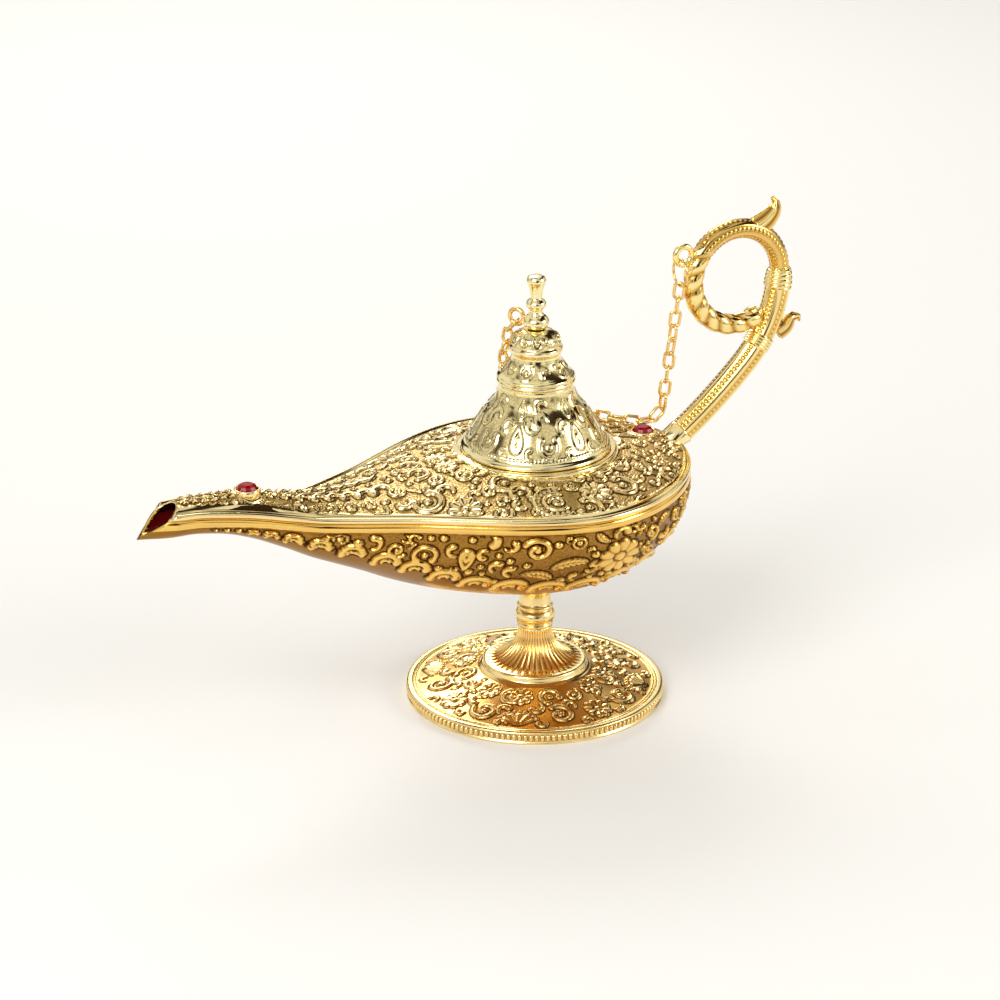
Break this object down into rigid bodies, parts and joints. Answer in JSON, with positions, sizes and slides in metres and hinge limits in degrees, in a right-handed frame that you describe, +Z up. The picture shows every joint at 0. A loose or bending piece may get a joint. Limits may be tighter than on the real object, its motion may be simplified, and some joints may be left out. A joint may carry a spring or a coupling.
{
  "type": "oil lamp",
  "caption": "Long-spouted oil lamp on a trumpet foot, with a domed deck, a lift-off cone lid on a chain, glass gems and a scrolled loop handle.",
  "frame": {"origin": "centre of the foot's underside, on the surface that the lamp stands on", "axes": "+Z up; -X along the spout to the nozzle, +X to the handle; +Y to the side that the chain lies on"},
  "size_m": [0.2209, 0.093, 0.1488],
  "materials": {
    "gold_plate": "bright gold plating over die-cast zinc, with darker antiqued recesses",
    "chain_gold": "bright gold-plated drawn wire",
    "red_glass": "faceted red glass",
    "steel": "zinc-plated screw steel"
  },
  "bodies": {
    "lamp": {"foot": "gold_plate", "stem_collar": "gold_plate", "foot_washer": "steel", "foot_screw": "steel", "bowl_shell": "gold_plate", "deck_shell": "gold_plate", "handle": "gold_plate", "handle_screw": "steel", "spout_gem": "red_glass", "deck_gem": "red_glass"},
    "lid": {"lid_cone": "gold_plate", "finial": "gold_plate", "finial_stud": "steel", "lid_eye": "gold_plate", "lid_link_1": "chain_gold", "lid_link_2": "chain_gold", "lid_link_3": "chain_gold", "lid_link_4": "chain_gold", "lid_link_5": "chain_gold", "lid_link_6": "chain_gold", "lid_link_7": "chain_gold", "lid_link_8": "chain_gold", "lid_link_9": "chain_gold", "lid_link_10": "chain_gold"},
    "hanging_chain": {"chain_ring": "chain_gold", "hang_link_1": "chain_gold", "hang_link_2": "chain_gold", "hang_link_3": "chain_gold", "hang_link_4": "chain_gold", "hang_link_5": "chain_gold", "hang_link_6": "chain_gold", "hang_link_7": "chain_gold", "hang_link_8": "chain_gold", "hang_link_9": "chain_gold", "deck_link_1": "chain_gold", "deck_link_2": "chain_gold", "deck_link_3": "chain_gold"},
    "deck_chain": {"deck_link_4": "chain_gold", "deck_link_5": "chain_gold", "deck_link_6": "chain_gold", "deck_link_7": "chain_gold", "deck_link_8": "chain_gold", "deck_link_9": "chain_gold", "deck_link_10": "chain_gold", "deck_link_11": "chain_gold"}
  },
  "joints": [
    {"name": "lid_lift", "type": "slide", "parent": "lamp", "child": "lid", "axis": [0, 0, 1], "range_m": [0, 0.03]},
    {"name": "chain_swing", "type": "hinge", "parent": "lamp", "child": "hanging_chain", "pos_m": [0.04898, 0, 0.13131], "axis": [0.6057, 0.7957, 0], "range_deg": [0, 10.81]},
    {"name": "chain_rise", "type": "hinge", "parent": "hanging_chain", "child": "deck_chain", "pos_m": [0.03378, 0.00636, 0.08163], "axis": [0.6057, 0.7957, 0], "range_deg": [0, 38.05]}
  ],
  "couplings": [
    {"joint": "chain_swing", "follows": "lid_lift", "rad_per_m": 6},
    {"joint": "chain_rise", "follows": "lid_lift", "rad_per_m": 21.843}
  ]
}
